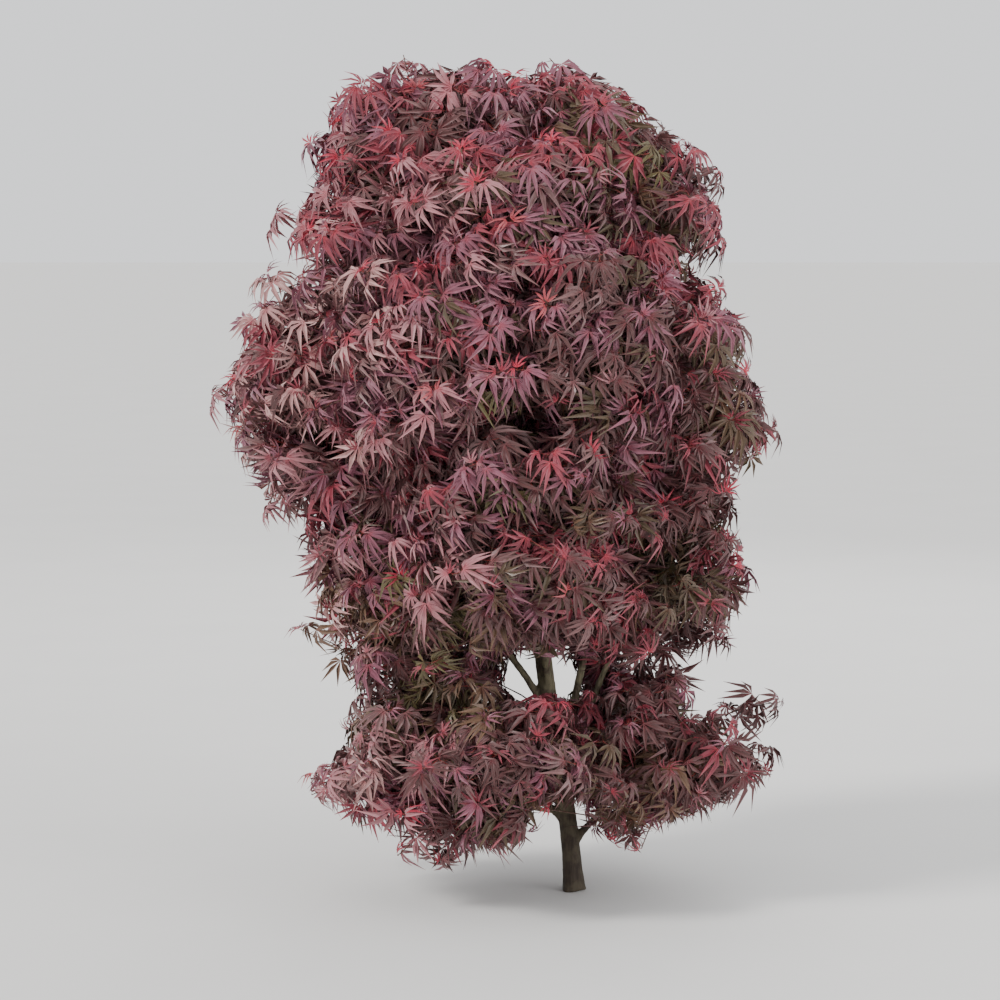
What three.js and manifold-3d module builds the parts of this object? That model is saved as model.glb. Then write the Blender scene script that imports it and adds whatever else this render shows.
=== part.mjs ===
// A red cut-leaved maple, a dense garden shrub rooted in the ground.
// A lean, flared trunk carries a bough to each mass of foliage. A mass stands on one stem that meets
// its bough's tip. It has a small peaked core, three-sided twigs that spread from the stem's end by
// a seeded rule, and rings of drooping palmate leaves at the twigs' tips.
// Millimetres, +Z up. The origin is the middle of the flat cut under the trunk, at ground level.
// +X is the right of the shrub as it is usually seen, and +Y runs away from the viewer.

import * as THREE from "three";
import { mergeVertices } from "three/addons/utils/BufferGeometryUtils.js";
import Module from "manifold-3d";

const wasm = await Module();
wasm.setup();

const point = (x, y, z) => new THREE.Vector3(x, y, z);
const UP = point(0, 0, 1);
const GOLDEN_TURN = Math.PI * (3 - Math.sqrt(5));

// Clearances between separate solids
const TOUCH_GAP = 0.3;
const CORE_TO_TIP = 0.5;
const LEAF_TO_LIMB = 1.5;
const SPACE_MARGIN = 0.4;

// Trunk: a line from below the ground to the tip, and the radius along it
const TRUNK_LINE = [
  point(0, 0, -40),
  point(0, 0, 0),
  point(-7, 2, 95),
  point(-41, 0, 318),
  point(-66, -6, 560),
  point(-84, 8, 760),
  point(-95, 22, 935),
];
const TRUNK_FOOT_RADIUS = 13.2;
const TRUNK_TIP_RADIUS = 4;
const TRUNK_TAPER_POWER = 2.2;
const FLARE = 4.5;
const FLARE_HEIGHT = 30;
const ROOT_RIDGES = 3;
const ROOT_RIDGE_SHARE = 0.5;
const TRUNK_SIDES = 12;
const TRUNK_STEPS = 16;

// Boughs: each leaves the trunk on a rising curve and ends just inside its mass
const BOUGH_FOOT_SHARE = 0.5;
const BOUGH_TIP_RADIUS = 3.4;
const BOUGH_BEND_SHARE = 0.35;
const BOUGH_RISE = 0.25;
const BOUGH_SIDES = 5;
const BOUGH_STEPS = 5;
const DOORWAY_SHARE = 0.74;
const DOORWAY_ROOM = 0.88;

// The core and the stem of a mass
const SPACE_POWER = 2.7;
const CORE_PEAK_SHARE = 0.72;
const CORE_HOLLOW_SHARE = 0.53;
const CORE_ROUGHNESS = 0.12;
const STEM_RADIUS = 3.2;
const STEM_LEAD = 25;
const STEM_STEPS = 3;

// Twigs
const TWIG_SIDES = 3;
const TWIG_FOOT_RADIUS = 3;
const TWIG_TIP_RADIUS = 1.6;
const TWIG_DIRECTIONS = 47;
const TWIG_STRIDE = 13;
const TWIG_SPREAD = THREE.MathUtils.degToRad(40);
const MOST_TWIGS = 6;
const TWIG_REACH = 0.82;
const TWIG_REACH_JITTER = 0.16;
const UNDERSIDE_LOSS = 0.22;
const OPEN_SHARE = 0.69;

// Leaves: lobes by their angle from the middle one and their share of its length, notches between
// them, and a thin stalk that is sunk in the twig
const LEAF_LENGTH = 64;
const LEAF_THICKNESS = 3;
const LEAF_DROP = 0.2;
const LOBES = [
  { angle: 0, share: 1 },
  { angle: 40, share: 0.93 },
  { angle: 84, share: 0.66 },
];
const NOTCH_ANGLES = [20, 63, 125];
const NOTCH_SHARE = 0.25;
const STALK_ANGLE = 180;
const STALK_LENGTH = 20;
const STALK_SINK = 5;
const LEAVES_ON_A_TWIG = 3;
const LEAF_TRIES = 8;
const RING_JITTER = 0.9;
const OUTWARD_LEAN = 0.75;
const MOST_DROOP = 0.9;
const FACE_LIFT = 0.6;

// Each mass of foliage: its centre, its half sizes, and the height where its bough leaves the trunk.
// The mass with no fork stands on the trunk's own tip.
const MASSES = [
  { name: "top_left", centre: point(-215, -20, 1050), half: point(175, 165, 150), fork: 800 },
  { name: "top_right", centre: point(20, -20, 1040), half: point(165, 165, 147), fork: 840 },
  { name: "top_back", centre: point(-90, 140, 1035), half: point(185, 150, 145), fork: null },
  { name: "upper_front", centre: point(-95, -160, 965), half: point(170, 140, 145), fork: 700 },
  { name: "upper_left", centre: point(-230, -10, 880), half: point(165, 165, 145), fork: 560 },
  { name: "upper_right", centre: point(80, -20, 870), half: point(165, 165, 150), fork: 600 },
  { name: "upper_back", centre: point(-90, 155, 870), half: point(185, 150, 145), fork: 660 },
  { name: "middle_left", centre: point(-355, -20, 725), half: point(180, 155, 140), fork: 330 },
  { name: "middle_front_left", centre: point(-190, -180, 785), half: point(165, 145, 140), fork: 480 },
  { name: "middle_front_right", centre: point(0, -185, 775), half: point(165, 145, 140), fork: 520 },
  { name: "middle_right", centre: point(130, -10, 690), half: point(170, 160, 150), fork: 175 },
  { name: "middle_back_right", centre: point(15, 165, 700), half: point(165, 145, 145), fork: 440 },
  { name: "middle_back_left", centre: point(-230, 150, 695), half: point(165, 145, 145), fork: 400 },
  { name: "lower_front", centre: point(-110, -175, 610), half: point(170, 140, 130), fork: 360 },
  { name: "low_left", centre: point(-235, -20, 505), half: point(165, 160, 150), fork: 240 },
  { name: "low_front", centre: point(-60, -160, 470), half: point(160, 140, 115), fork: 290 },
  { name: "low_right", centre: point(115, 0, 495), half: point(180, 160, 150), fork: 135 },
  { name: "low_back", centre: point(-60, 160, 490), half: point(180, 145, 140), fork: 260 },
  { name: "skirt_left", centre: point(-255, -20, 225), half: point(178, 155, 140), fork: 95 },
  { name: "skirt_front", centre: point(-85, -150, 195), half: point(165, 135, 115), fork: 115 },
  { name: "skirt_right", centre: point(140, -20, 205), half: point(180, 155, 115), fork: 60 },
  { name: "skirt_back", centre: point(10, 140, 210), half: point(175, 135, 115), fork: 80 },
];
const SEED_STEP = 1009;

// Colours: grey-brown bark, and foliage from a dusky plum low down to a redder plum at the top
const BARK_COLOUR = 0x5a4a3e;
const LOW_LEAF_COLOUR = 0x5c4038;
const HIGH_LEAF_COLOUR = 0x7d4748;
const CROWN_TOP = 1200;

const barkMaterial = () => new THREE.MeshStandardMaterial({ color: BARK_COLOUR, roughness: 0.85, metalness: 0 });

function foliageMaterial(height) {
  const color = new THREE.Color(LOW_LEAF_COLOUR).lerp(new THREE.Color(HIGH_LEAF_COLOUR), height / CROWN_TOP);
  return new THREE.MeshStandardMaterial({ color, roughness: 0.55, metalness: 0 });
}

// A small seeded generator, whose whole numbers stay exact in a double
function randomFrom(seed) {
  let state = seed;
  return () => {
    state = (state * 1664525 + 1013904223) % 4294967296;
    return state / 4294967296;
  };
}

// Solids and meshes

const MERGE_TOLERANCE = 1e-4;

function withSharedVertices(geometry) {
  const bare = geometry.clone().deleteAttribute("normal").deleteAttribute("uv");
  return mergeVertices(bare, MERGE_TOLERANCE);
}

function solidOf(geometry) {
  const merged = withSharedVertices(geometry);
  return new wasm.Manifold(
    new wasm.Mesh({
      numProp: 3,
      vertProperties: new Float32Array(merged.attributes.position.array),
      triVerts: new Uint32Array(merged.index.array),
    }),
  );
}

function geometryOf(solid) {
  const made = solid.getMesh();
  const geometry = new THREE.BufferGeometry();
  geometry.setAttribute("position", new THREE.BufferAttribute(made.vertProperties, 3));
  geometry.setIndex(new THREE.BufferAttribute(made.triVerts, 1));
  geometry.computeVertexNormals();
  return geometry;
}

// The outer shell of the largest body: loose scraps are dropped, and sealed hollows are filled
function largestBody(solid) {
  return solid.decompose().reduce((best, body) => (body.volume() > best.volume() ? body : best));
}

function meshAt(name, solid, origin, material) {
  const mesh = new THREE.Mesh(geometryOf(solid.translate(origin.clone().negate().toArray())), material);
  mesh.name = name;
  mesh.position.copy(origin);
  return mesh;
}

const spotOf = (positions, i) => new THREE.Vector3().fromBufferAttribute(positions, i);

// A limb is a cylinder bent along a curve, with a radius for each place along it and round it
function limbSolid(curve, radiusAt, sides, steps) {
  const geometry = new THREE.CylinderGeometry(1, 1, 1, sides, steps);
  const frames = curve.computeFrenetFrames(steps);
  const spots = geometry.attributes.position;
  for (let i = 0; i < spots.count; i++) {
    const step = Math.round((spots.getY(i) + 0.5) * steps);
    const along = step / steps;
    const radius = radiusAt(along, Math.atan2(spots.getZ(i), spots.getX(i)));
    const spot = curve
      .getPointAt(along)
      .addScaledVector(frames.normals[step], spots.getX(i) * radius)
      .addScaledVector(frames.binormals[step], -spots.getZ(i) * radius);
    spots.setXYZ(i, spot.x, spot.y, spot.z);
  }
  return solidOf(geometry);
}

// What a many-sided limb's corners need so that its flat sides move out by the whole margin
const cornerMargin = (margin, sides) => margin / Math.cos(Math.PI / sides);

// Trunk

const trunkCurve = new THREE.CatmullRomCurve3(TRUNK_LINE);
const TRUNK_TIP = TRUNK_LINE.at(-1);

function trunkRadius(height, turn = 0) {
  const share = THREE.MathUtils.clamp(height / TRUNK_TIP.z, 0, 1);
  const taper = (TRUNK_FOOT_RADIUS - TRUNK_TIP_RADIUS) * share ** TRUNK_TAPER_POWER;
  const flare = FLARE * Math.exp(-Math.max(height, 0) / FLARE_HEIGHT);
  return TRUNK_FOOT_RADIUS - taper + flare * (1 + ROOT_RIDGE_SHARE * Math.cos(ROOT_RIDGES * turn));
}

function trunkSolid(margin) {
  const growth = cornerMargin(margin, TRUNK_SIDES);
  const radiusAt = (along, turn) => trunkRadius(trunkCurve.getPointAt(along).z, turn) + growth;
  return limbSolid(trunkCurve, radiusAt, TRUNK_SIDES, TRUNK_STEPS).trimByPlane(UP.toArray(), 0);
}

// The middle of the trunk at a height, found by halving the stretch that holds it
const HALVINGS = 40;

function trunkPoint(height) {
  let low = 0;
  let high = 1;
  for (let i = 0; i < HALVINGS; i++) {
    const middle = (low + high) / 2;
    if (trunkCurve.getPointAt(middle).z < height) low = middle;
    else high = middle;
  }
  return trunkCurve.getPointAt(low);
}

// The space of each mass: a swollen ellipsoid, less what is nearer to a neighbour

const ballRadius = (mass) => Math.cbrt(mass.half.x * mass.half.y * mass.half.z);

function wallBetween(mass, other) {
  const across = other.centre.clone().sub(mass.centre);
  const distance = across.length();
  const middle = (distance ** 2 + ballRadius(mass) ** 2 - ballRadius(other) ** 2) / (2 * distance);
  return { normal: across.divideScalar(distance), offset: middle - SPACE_MARGIN };
}

// The share of the way from a mass's centre to its skin
function skinShare(mass, fromCentre) {
  const sizes = fromCentre.clone().divide(mass.half).toArray();
  return sizes.reduce((sum, size) => sum + Math.abs(size) ** SPACE_POWER, 0) ** (1 / SPACE_POWER);
}

function inSpace(mass, spot) {
  const fromCentre = spot.clone().sub(mass.centre);
  return skinShare(mass, fromCentre) < 1 && mass.walls.every((wall) => fromCentre.dot(wall.normal) < wall.offset);
}

// How far the mass's space reaches from its centre in one direction
function roomAlong(mass, direction) {
  return mass.walls.reduce((room, wall) => {
    const slope = direction.dot(wall.normal);
    return slope > 0 ? Math.min(room, wall.offset / slope) : room;
  }, 1 / skinShare(mass, direction));
}

// Where each bough starts, bends and ends. The doorway is its end, and the entry its direction there.
MASSES.forEach((mass, index) => {
  mass.seed = SEED_STEP * (index + 1);
  mass.walls = MASSES.filter((other) => other !== mass).map((other) => wallBetween(mass, other));
  if (mass.fork === null) {
    mass.doorway = TRUNK_TIP;
    mass.entry = trunkCurve.getTangentAt(1);
    return;
  }
  mass.root = trunkPoint(mass.fork);
  const inward = mass.root.clone().sub(mass.centre).normalize();
  const reach = Math.min(DOORWAY_SHARE / skinShare(mass, inward), DOORWAY_ROOM * roomAlong(mass, inward));
  mass.doorway = mass.centre.clone().addScaledVector(inward, reach);
  mass.bend = mass.root.clone().lerp(mass.doorway, BOUGH_BEND_SHARE);
  mass.bend.z += BOUGH_RISE * mass.doorway.distanceTo(mass.root);
  mass.entry = mass.doorway.clone().sub(mass.bend).normalize();
});

// Boughs

const branched = MASSES.filter((mass) => mass.fork !== null);

function boughSolid(mass, sideMargin, endMargin) {
  const end = mass.doorway.clone().addScaledVector(mass.entry, endMargin);
  const curve = new THREE.QuadraticBezierCurve3(mass.root, mass.bend, end);
  const foot = BOUGH_FOOT_SHARE * trunkRadius(mass.fork);
  const growth = cornerMargin(sideMargin, BOUGH_SIDES);
  const radiusAt = (along) => THREE.MathUtils.lerp(foot, BOUGH_TIP_RADIUS, along) + growth;
  return limbSolid(curve, radiusAt, BOUGH_SIDES, BOUGH_STEPS);
}

const trunk = trunkSolid(0);
const trunkSleeve = trunkSolid(TOUCH_GAP);
const boughs = branched.map((mass) => ({
  name: `bough_${mass.name}`,
  root: mass.root,
  solid: largestBody(boughSolid(mass, 0, 0).subtract(trunkSleeve)),
}));

// The limbs grown by a margin round their sides and at their ends, which foliage keeps out of
function grownLimbs(sideMargin, endMargin) {
  const sleeves = branched.map((mass) => boughSolid(mass, sideMargin, endMargin));
  return wasm.Manifold.union([trunkSolid(sideMargin), ...sleeves]);
}

const stemClearance = grownLimbs(TOUCH_GAP, 0);
const coreClearance = grownLimbs(TOUCH_GAP, CORE_TO_TIP);
const leafClearance = grownLimbs(LEAF_TO_LIMB, LEAF_TO_LIMB);

// Core and stem

const twentyFaces = new THREE.IcosahedronGeometry(1, 0).attributes.position;
const PEAKS = Array.from({ length: twentyFaces.count }, (_, i) => spotOf(twentyFaces, i));
const isPeak = (spot) => PEAKS.some((peak) => peak.distanceTo(spot) < MERGE_TOLERANCE);

// A ball of twenty faces, each cut in four: its own corners stand out and the new ones lie in
function coreSolid(mass) {
  const random = randomFrom(mass.seed + 1);
  const ball = withSharedVertices(new THREE.IcosahedronGeometry(1, 1));
  const spots = ball.attributes.position;
  for (let i = 0; i < spots.count; i++) {
    const spot = spotOf(spots, i);
    const share = isPeak(spot) ? CORE_PEAK_SHARE : CORE_HOLLOW_SHARE;
    const rough = 1 + CORE_ROUGHNESS * (2 * random() - 1);
    spot.multiplyScalar((share * rough) / skinShare(mass, spot));
    spots.setXYZ(i, spot.x, spot.y, spot.z);
  }
  const trimmed = mass.walls.reduce(
    (core, wall) => core.trimByPlane(wall.normal.clone().negate().toArray(), -wall.offset),
    solidOf(ball),
  );
  return trimmed.translate(mass.centre.toArray());
}

function twigSolid(curve, footRadius, tipRadius, steps) {
  const radiusAt = (along) => THREE.MathUtils.lerp(footRadius, tipRadius, along);
  return limbSolid(curve, radiusAt, TWIG_SIDES, steps);
}

// The stem starts square to its bough's tip and bends to the middle of the mass
function stemSolid(mass) {
  const foot = mass.doorway.clone().addScaledVector(mass.entry, TOUCH_GAP);
  const lead = mass.doorway.clone().addScaledVector(mass.entry, STEM_LEAD);
  const curve = new THREE.QuadraticBezierCurve3(foot, lead, mass.centre);
  return twigSolid(curve, STEM_RADIUS, STEM_RADIUS, STEM_STEPS);
}

// Twigs: directions on a golden spiral, kept where the space is open and no twig is near

function twigsOf(mass) {
  const random = randomFrom(mass.seed);
  const twigs = [];
  for (let i = 0; i < TWIG_DIRECTIONS; i++) {
    const place = (i * TWIG_STRIDE) % TWIG_DIRECTIONS;
    const height = 1 - (2 * (place + 0.5)) / TWIG_DIRECTIONS;
    const turn = place * GOLDEN_TURN + mass.seed;
    const level = Math.sqrt(1 - height ** 2);
    const direction = point(level * Math.cos(turn), level * Math.sin(turn), height);
    const room = roomAlong(mass, direction);
    const crowded = twigs.some((twig) => twig.direction.angleTo(direction) < TWIG_SPREAD);
    if (crowded || room * skinShare(mass, direction) < OPEN_SHARE) continue;
    const reach = TWIG_REACH + UNDERSIDE_LOSS * Math.min(direction.z, 0);
    const length = reach * room * (1 + TWIG_REACH_JITTER * (random() - 0.5));
    twigs.push({ direction, tip: mass.centre.clone().addScaledVector(direction, length) });
  }
  return twigs;
}

// Leaves

function leafRim() {
  const lobes = LOBES.flatMap(({ angle, share }) => [{ angle, share }, { angle: -angle, share }]).slice(1);
  const notches = NOTCH_ANGLES.flatMap((angle) => [angle, -angle]).map((angle) => ({ angle, share: NOTCH_SHARE }));
  return [...lobes, ...notches, { angle: STALK_ANGLE, share: 0 }].sort((a, b) => a.angle - b.angle);
}

const RIM = leafRim();

// A flat ball with one rim point for each lobe, notch and stalk. Its poles are the blade's two faces.
function leafSolid(root, base, forward, normal) {
  const side = normal.clone().cross(forward);
  const facePoint = (pole) => base.clone().addScaledVector(normal, (pole * LEAF_THICKNESS) / 2);
  const rimPoint = (rim) => {
    if (rim.angle === STALK_ANGLE) return root;
    const angle = THREE.MathUtils.degToRad(rim.angle);
    const length = rim.share * LEAF_LENGTH;
    return base
      .clone()
      .addScaledVector(forward, length * Math.cos(angle))
      .addScaledVector(side, length * Math.sin(angle))
      .addScaledVector(normal, -LEAF_DROP * length * rim.share);
  };
  const geometry = new THREE.SphereGeometry(1, RIM.length, 2);
  const spots = geometry.attributes.position;
  const corners = [];
  for (let i = 0; i < spots.count; i++) {
    const pole = Math.round(spots.getY(i));
    const step = Math.round(geometry.attributes.uv.getX(i) * RIM.length);
    const corner = pole === 0 ? rimPoint(RIM[step % RIM.length]) : facePoint(pole);
    spots.setXYZ(i, corner.x, corner.y, corner.z);
    corners.push(corner);
  }
  return { solid: solidOf(geometry), corners };
}

// One leaf of the ring round a twig's tip, which heads off to its own side and droops,
// or null where no try fits
function leafOn(mass, twig, ringTurn, random, obstacles) {
  const across = twig.direction.clone().cross(UP).normalize();
  const over = across.clone().cross(twig.direction);
  const root = twig.tip.clone().addScaledVector(twig.direction, -STALK_SINK);
  for (let i = 0; i < LEAF_TRIES; i++) {
    const turn = ringTurn + RING_JITTER * (random() - 0.5);
    const heading = twig.direction
      .clone()
      .multiplyScalar(OUTWARD_LEAN * random())
      .addScaledVector(across, Math.cos(turn))
      .addScaledVector(over, Math.sin(turn))
      .normalize();
    const forward = heading.clone().addScaledVector(UP, -MOST_DROOP * random()).normalize();
    const base = twig.tip.clone().addScaledVector(heading, STALK_LENGTH);
    const facing = twig.direction.clone().addScaledVector(UP, FACE_LIFT);
    const normal = facing.addScaledVector(forward, -facing.dot(forward)).normalize();
    const leaf = leafSolid(root, base, forward, normal);
    if (!leaf.corners.every((corner) => inSpace(mass, corner))) continue;
    if (obstacles.some((obstacle) => !leaf.solid.intersect(obstacle).isEmpty())) continue;
    return leaf.solid;
  }
  return null;
}

// A twig that would touch a limb is skipped, and so is one that no leaf finds room on
function growMass(mass) {
  const random = randomFrom(mass.seed + 2);
  const core = coreSolid(mass);
  const stem = stemSolid(mass).subtract(stemClearance);
  const heart = largestBody(core.subtract(coreClearance).add(stem));
  const twigs = [];
  const leaves = [];
  for (const twig of twigsOf(mass)) {
    const line = new THREE.LineCurve3(mass.centre, twig.tip);
    const solid = twigSolid(line, TWIG_FOOT_RADIUS, TWIG_TIP_RADIUS, 1);
    if (twigs.length === MOST_TWIGS) break;
    if (!solid.intersect(leafClearance).isEmpty()) continue;
    const leavesBefore = leaves.length;
    for (let i = 0; i < LEAVES_ON_A_TWIG; i++) {
      const ringTurn = (2 * Math.PI * i) / LEAVES_ON_A_TWIG + mass.seed;
      const leaf = leafOn(mass, twig, ringTurn, random, [core, leafClearance, ...leaves]);
      if (leaf) leaves.push(leaf);
    }
    if (leaves.length > leavesBefore) twigs.push(solid);
  }
  return largestBody(wasm.Manifold.union([heart, ...twigs, ...leaves]));
}

const maple = new THREE.Group();
maple.add(meshAt("trunk", trunk, point(0, 0, 0), barkMaterial()));
boughs.forEach((bough) => maple.add(meshAt(bough.name, bough.solid, bough.root, barkMaterial())));
MASSES.forEach((mass) => {
  maple.add(meshAt(`foliage_${mass.name}`, growMass(mass), mass.centre, foliageMaterial(mass.centre.z)));
});

export default maple;
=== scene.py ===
# %% [markdown]
# # A red cut-leaved maple, from frame to foliage
# The plant is a dense garden shrub with one lean trunk, rooted in the ground. Its frame was made
# elsewhere as plain solids: a trunk, boughs, and masses of foliage. This lesson dresses that frame.
# The bark becomes one skin with relief, and each mass becomes twigs, stalks and cut leaves.
# Everything is in metres, +Z is up, and +Y runs away from the viewer.

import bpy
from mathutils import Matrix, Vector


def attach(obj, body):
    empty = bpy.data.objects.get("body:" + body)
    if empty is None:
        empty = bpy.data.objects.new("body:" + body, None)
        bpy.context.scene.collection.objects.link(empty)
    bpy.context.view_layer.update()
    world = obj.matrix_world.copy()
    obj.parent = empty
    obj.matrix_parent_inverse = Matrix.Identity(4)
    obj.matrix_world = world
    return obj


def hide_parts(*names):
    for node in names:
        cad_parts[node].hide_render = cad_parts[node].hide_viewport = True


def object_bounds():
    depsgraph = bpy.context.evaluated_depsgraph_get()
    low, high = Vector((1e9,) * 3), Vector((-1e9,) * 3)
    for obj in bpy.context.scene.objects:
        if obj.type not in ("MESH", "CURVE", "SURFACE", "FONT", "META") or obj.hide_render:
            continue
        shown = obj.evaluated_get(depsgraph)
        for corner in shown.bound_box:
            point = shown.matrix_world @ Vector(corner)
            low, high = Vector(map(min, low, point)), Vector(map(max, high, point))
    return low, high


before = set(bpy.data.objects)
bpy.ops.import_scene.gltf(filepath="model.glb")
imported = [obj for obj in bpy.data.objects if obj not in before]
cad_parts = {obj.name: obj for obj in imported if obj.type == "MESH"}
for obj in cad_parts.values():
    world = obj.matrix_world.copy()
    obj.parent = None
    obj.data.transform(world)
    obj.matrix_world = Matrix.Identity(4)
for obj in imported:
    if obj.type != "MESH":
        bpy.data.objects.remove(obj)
cad_low, cad_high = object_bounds()
print("frame:", len(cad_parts), "nodes, from", tuple(cad_low), "to", tuple(cad_high))

# %% Tools that the lesson needs
import math

import bpy
import numpy as np
from mathutils import Vector

UP = Vector((0, 0, 1))
MM = 0.001  # the growth rule below counts in millimetres, and meshes are made in metres
print("tools loaded, Blender", bpy.app.version_string)

# %% [markdown]
# ## Camera
# The camera stands a little above the middle of the shrub and looks slightly down, as a garden visitor
# would see it. A long lens keeps the trunk and the crown's sides straight. It is given in millimetres
# on a 36 mm sensor, which is easier to picture than an angle.

# %% Camera
CAMERA_SPOT = (-0.107, -3.885, 0.9335)
CAMERA_TILT = math.radians(84.71)
SENSOR_WIDTH = 36
LENS = 97.2
bpy.ops.object.camera_add(location=CAMERA_SPOT, rotation=(CAMERA_TILT, 0, 0))
camera = bpy.context.object
camera.data.sensor_width = SENSOR_WIDTH
camera.data.lens = LENS
bpy.context.scene.camera = camera
print("camera at", tuple(camera.location))

# %% [markdown]
# ## Light and floor
# Leaves show their shape through soft light from one side: a wide sun high on the left models the
# lobes, and a pale sky fills the shadows. A broad lamp on the right softens the darker side, and one
# behind gives the far leaves a thin bright rim. The floor is plain and pale.

# %% Sun, lamps and sky
CROWN_MIDDLE = Vector((-0.1, 0, 0.65))
SUN_SPOT = (-3, -3, 4)
SUN_TURN = (math.radians(50), 0, math.radians(-60))
SUN = {"angle": math.radians(14), "energy": 2.7, "color": (1, 0.975, 0.945)}
LAMPS = {
    "back_lamp": ((0.8, 3.6, 2.6), {"size": 2.5, "energy": 45}),
    "side_lamp": ((3.0, -2.2, 1.6), {"size": 3.0, "energy": 100}),
}


def add_light(name, kind, spot, turn, settings):
    bpy.ops.object.light_add(type=kind, location=spot, rotation=turn)
    light = bpy.context.object
    light.name = name
    for key, value in settings.items():
        setattr(light.data, key, value)


add_light("key_sun", "SUN", SUN_SPOT, SUN_TURN, SUN)
for name, (spot, settings) in LAMPS.items():
    turn = (CROWN_MIDDLE - Vector(spot)).to_track_quat("-Z", "Y").to_euler()
    add_light(name, "AREA", spot, turn, settings)

SKY = {"Color": (0.93, 0.94, 0.96, 1), "Strength": 1.3}
sky = bpy.data.worlds.new("pale_sky")
sky.use_nodes = True
for key, value in SKY.items():
    sky.node_tree.nodes["Background"].inputs[key].default_value = value
bpy.context.scene.world = sky
print("a sun,", len(LAMPS), "lamps and a sky")

# %% [markdown]
# ## Writing finishes as sums
# A procedural finish is a small calculation on each point of a surface. Node trees draw that as boxes
# and wires, and code can write it as ordinary arithmetic. One class wraps a socket, so that `1 - mask`
# adds its own Math node. A second class holds a material and adds every other kind of node.

# %% A socket that takes arithmetic
def sign(operation, turned=False):
    """A method for one sign of arithmetic. The turned one has its own socket on the right."""

    def method(self, other):
        return self.finish.math(operation, *((other, self) if turned else (self, other)))

    return method


class Value:
    """An output socket in a finish, on which plain arithmetic can be written."""

    __add__, __radd__ = sign("ADD"), sign("ADD", True)
    __sub__, __rsub__ = sign("SUBTRACT"), sign("SUBTRACT", True)
    __mul__, __rmul__ = sign("MULTIPLY"), sign("MULTIPLY", True)

    def __init__(self, finish, socket):
        self.finish = finish
        self.socket = socket


print("sockets now take + - and *")

# %% A finish that nodes are added to
def linear(red, green, blue):
    """A colour as a screen shows it, 0 to 255, as the light values that Blender works in."""
    shares = [channel / 255 for channel in (red, green, blue)]
    return tuple(s / 12.92 if s <= 0.04045 else ((s + 0.055) / 1.055) ** 2.4 for s in shares) + (1.0,)


MIX_FACTOR, MIX_FIRST, MIX_SECOND, MIX_RESULT = 0, 6, 7, 2  # a Mix node's sockets for colours


class Finish:
    """A material with one Principled shader. Constants go on its sockets and patterns are linked."""

    def __init__(self, name, **constants):
        self.material = bpy.data.materials.new(name)
        self.material.use_nodes = True
        self.nodes = self.material.node_tree.nodes
        self.shader = self.nodes["Principled BSDF"]
        self.set_sockets(self.shader, constants)

    def set_sockets(self, node, sockets):
        """Links or sets sockets, by number or by name with _ in place of spaces."""
        for key, value in sockets.items():
            socket = node.inputs[key.replace("_", " ") if isinstance(key, str) else key]
            if isinstance(value, Value):
                self.material.node_tree.links.new(value.socket, socket)
            else:
                socket.default_value = value

    def node(self, kind, settings=None, sockets=None, output=0):
        """Adds a node, its settings first and then its sockets, and gives one of its outputs."""
        node = self.nodes.new(kind)
        for key, value in (settings or {}).items():
            setattr(node, key, value)
        self.set_sockets(node, sockets or {})
        return Value(self, node.outputs[output])

    def math(self, operation, *values):
        return self.node("ShaderNodeMath", {"operation": operation}, dict(enumerate(values)))

    def place(self):
        return self.node("ShaderNodeTexCoord", output="Object")

    def stretched(self, *scale):
        return self.node("ShaderNodeMapping", sockets={"Vector": self.place(), "Scale": scale})

    def noise(self, vector, scale, detail=3.0, roughness=0.55):
        sockets = {"Vector": vector, "Scale": scale, "Detail": detail, "Roughness": roughness}
        return self.node("ShaderNodeTexNoise", sockets=sockets)

    def blend(self, share, first, second):
        sockets = {MIX_FACTOR: share, MIX_FIRST: first, MIX_SECOND: second}
        return self.node("ShaderNodeMix", {"data_type": "RGBA"}, sockets, MIX_RESULT)

    def step(self, value, low, high):
        """0 below low, 1 above high, and a smooth rise between."""
        sockets = {"Value": value, "From_Min": low, "From_Max": high}
        return self.node("ShaderNodeMapRange", {"interpolation_type": "SMOOTHSTEP"}, sockets)

    def bump(self, height, strength, distance):
        sockets = {"Height": height, "Strength": strength, "Distance": distance}
        return self.node("ShaderNodeBump", sockets=sockets)

    def part(self, vector, axis):
        """One of the three numbers of a vector, by its letter."""
        return self.node("ShaderNodeSeparateXYZ", sockets={0: vector}, output=axis)

    def wear(self, **patterns):
        self.set_sockets(self.shader, patterns)
        return self.material


print("a finish is ready to take nodes")

# %% Floor
FLOOR_SIZE = 400
FLOOR_TINTS = linear(206, 205, 203), linear(213, 212, 210)
bpy.ops.object.select_all(action="DESELECT")
bpy.ops.mesh.primitive_plane_add(size=FLOOR_SIZE, location=(0, 0, 0))
floor = bpy.context.object
floor.name = "floor"
pale = Finish("pale_floor", Roughness=0.9)
mottle = pale.noise(pale.place(), 3.0)
floor.data.materials.append(pale.wear(Base_Color=pale.blend(mottle, *FLOOR_TINTS)))
print("floor laid,", FLOOR_SIZE, "m square")

# %% [markdown]
# ## The growth rule
# The solids were grown by a rule: a trunk line, a bough to each mass, a stem to the middle of the mass,
# and twigs that spread on a golden spiral as far as the mass has room. The rule is written again here
# with the same numbers and seeds, so the twigs start on the solids' own limbs. It is then carried
# further, to side twigs, leaf stalks and leaves, inside the same spaces.

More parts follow.
